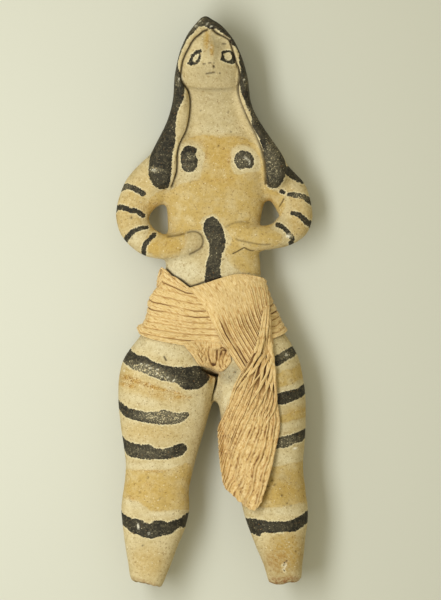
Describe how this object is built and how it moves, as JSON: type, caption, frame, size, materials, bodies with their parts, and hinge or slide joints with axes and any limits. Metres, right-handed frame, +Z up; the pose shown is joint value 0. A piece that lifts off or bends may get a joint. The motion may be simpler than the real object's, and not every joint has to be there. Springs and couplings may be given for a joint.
{
  "type": "ceramic figurine",
  "caption": "Painted fired-clay standing female figure with a long headdress and bent arms, lying on its back, wearing a pleated linen loincloth.",
  "frame": {"origin": "on the surface the figure lies on, below the middle of its bounding box", "axes": "+Z up out of the figure's front, +Y from the feet to the crown, +X to the left of the figure's own body, right when seen from above with the head up"},
  "size_m": [0.083, 0.2388, 0.0292],
  "materials": {
    "painted_clay": "matt fired clay, buff with an ochre wash and black painted stripes",
    "linen": "aged, finely pleated plain-weave linen"
  },
  "bodies": {
    "root": {"clay_figure": "painted_clay", "linen_loincloth": "linen"}
  },
  "joints": []
}
